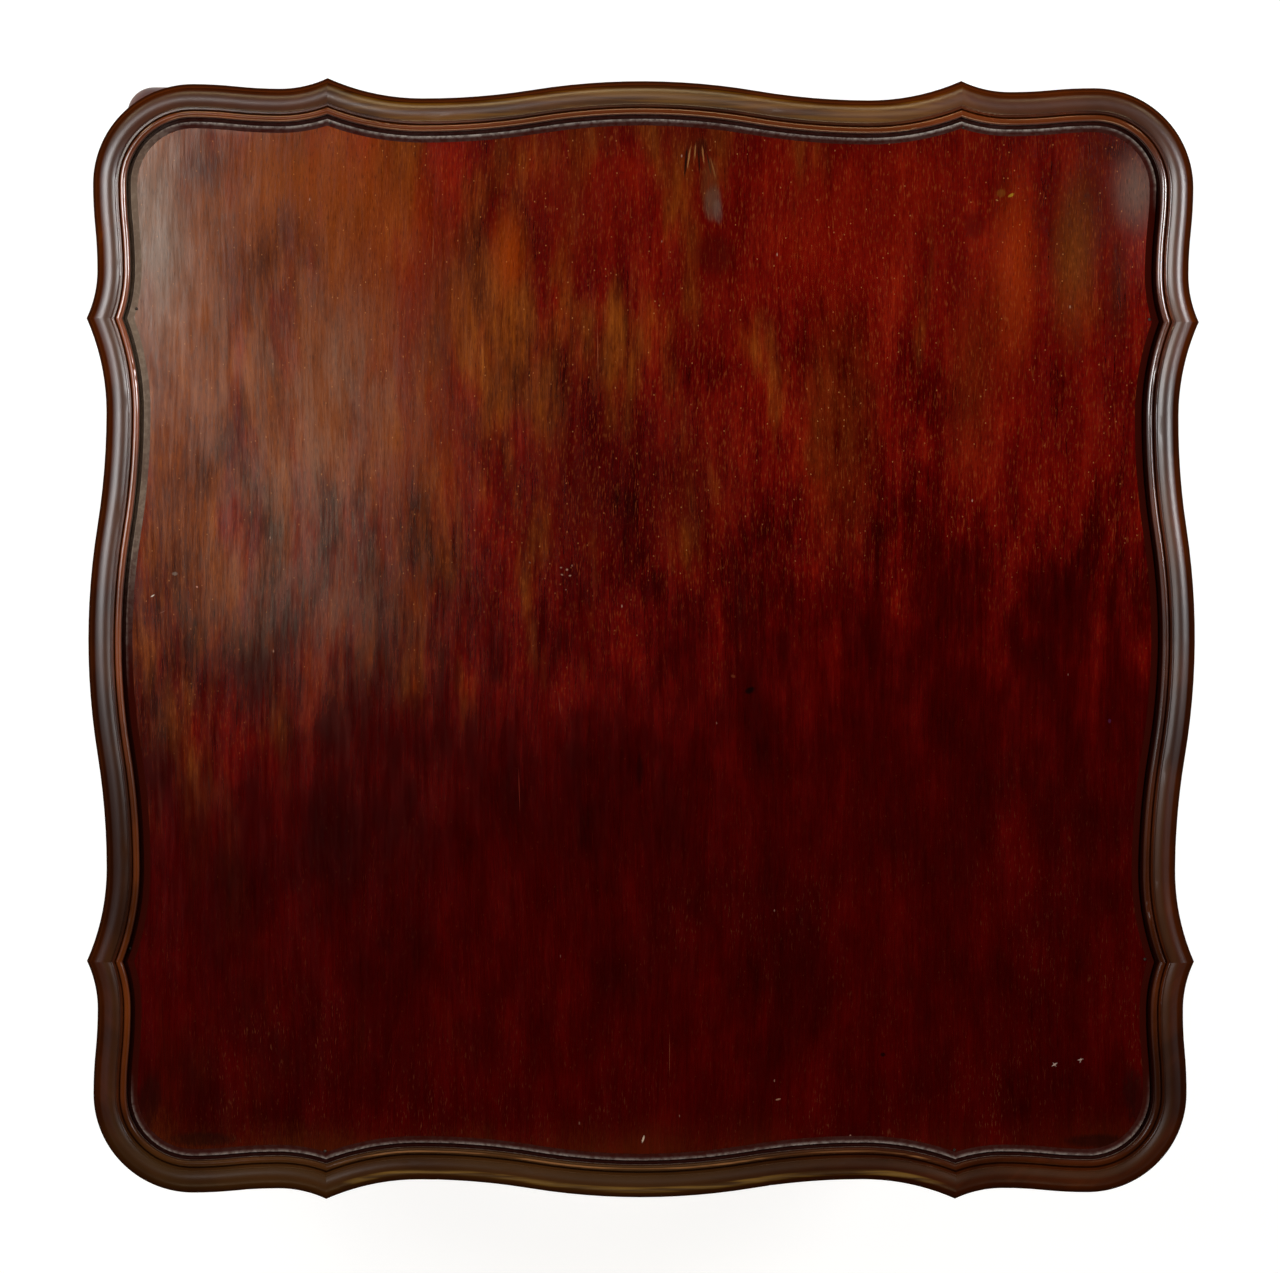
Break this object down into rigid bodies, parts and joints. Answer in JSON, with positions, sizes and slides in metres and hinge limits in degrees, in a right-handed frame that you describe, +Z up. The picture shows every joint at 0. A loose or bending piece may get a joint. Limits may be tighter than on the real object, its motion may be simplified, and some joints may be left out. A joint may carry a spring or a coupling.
{
  "type": "games table",
  "caption": "Square wooden games table with a lift-off tray top in a cusped, moulded rim, over a backgammon well with drawers in its aprons, on cabriole legs with pad feet.",
  "frame": {"origin": "on the floor under the middle of the table", "axes": "+Z up, +Y from front to back and along the grain of the top, +X to the right seen from the front"},
  "size_m": [0.858, 0.8676, 0.745],
  "materials": {
    "panel_wood": "french-polished mahogany, worn",
    "rim_wood": "french-polished mahogany",
    "frame_wood": "french-polished mahogany",
    "board_wood": "polished walnut",
    "light_inlay": "polished boxwood inlay",
    "dark_inlay": "polished ebonised inlay",
    "oak": "bare oak",
    "brass": "aged polished brass",
    "steel": "dull steel",
    "baize": "napped wool cloth"
  },
  "bodies": {
    "frame": {"apron_back": "frame_wood", "apron_front": "frame_wood", "apron_left": "frame_wood", "apron_right": "frame_wood", "corner_blocks": "oak", "corner_screws": "steel", "drawer_guides": "oak", "drawer_stops": "oak", "dust_board": "oak", "foot_glides": "brass", "knee_brackets_back": "frame_wood", "knee_brackets_front": "frame_wood", "knee_brackets_left": "frame_wood", "knee_brackets_right": "frame_wood", "leg_back_left": "frame_wood", "leg_back_right": "frame_wood", "leg_front_left": "frame_wood", "leg_front_right": "frame_wood", "locating_pins": "brass", "points_dark": "dark_inlay", "points_light": "light_inlay", "surround_back": "frame_wood", "surround_front": "frame_wood", "surround_left": "frame_wood", "surround_right": "frame_wood", "well_bar": "board_wood", "well_cleats": "oak", "well_floor": "board_wood", "well_wall_back": "board_wood", "well_wall_front": "board_wood", "well_wall_left": "board_wood", "well_wall_right": "board_wood"},
    "top": {"baize_lining": "baize", "pin_sockets": "brass", "rim_back": "rim_wood", "rim_corner_back_left": "rim_wood", "rim_corner_back_right": "rim_wood", "rim_corner_front_left": "rim_wood", "rim_corner_front_right": "rim_wood", "rim_front": "rim_wood", "rim_left": "rim_wood", "rim_right": "rim_wood", "top_panel": "panel_wood"},
    "drawer_front": {"drawer_front_front": "frame_wood", "drawer_box_front": "oak", "drawer_bottom_front": "oak", "knob_front": "brass"},
    "drawer_right": {"drawer_front_right": "frame_wood", "drawer_box_right": "oak", "drawer_bottom_right": "oak", "knob_right": "brass"},
    "drawer_back": {"drawer_front_back": "frame_wood", "drawer_box_back": "oak", "drawer_bottom_back": "oak", "knob_back": "brass"},
    "drawer_left": {"drawer_front_left": "frame_wood", "drawer_box_left": "oak", "drawer_bottom_left": "oak", "knob_left": "brass"}
  },
  "joints": [
    {"name": "top_lift", "type": "slide", "parent": "frame", "child": "top", "axis": [0, 0, 1], "range_m": [0, 0.3]},
    {"name": "drawer_front_slide", "type": "slide", "parent": "frame", "child": "drawer_front", "axis": [0, -1, 0], "range_m": [0, 0.17]},
    {"name": "drawer_right_slide", "type": "slide", "parent": "frame", "child": "drawer_right", "axis": [1, 0, 0], "range_m": [0, 0.17]},
    {"name": "drawer_back_slide", "type": "slide", "parent": "frame", "child": "drawer_back", "axis": [0, 1, 0], "range_m": [0, 0.17]},
    {"name": "drawer_left_slide", "type": "slide", "parent": "frame", "child": "drawer_left", "axis": [-1, 0, 0], "range_m": [0, 0.17]}
  ]
}
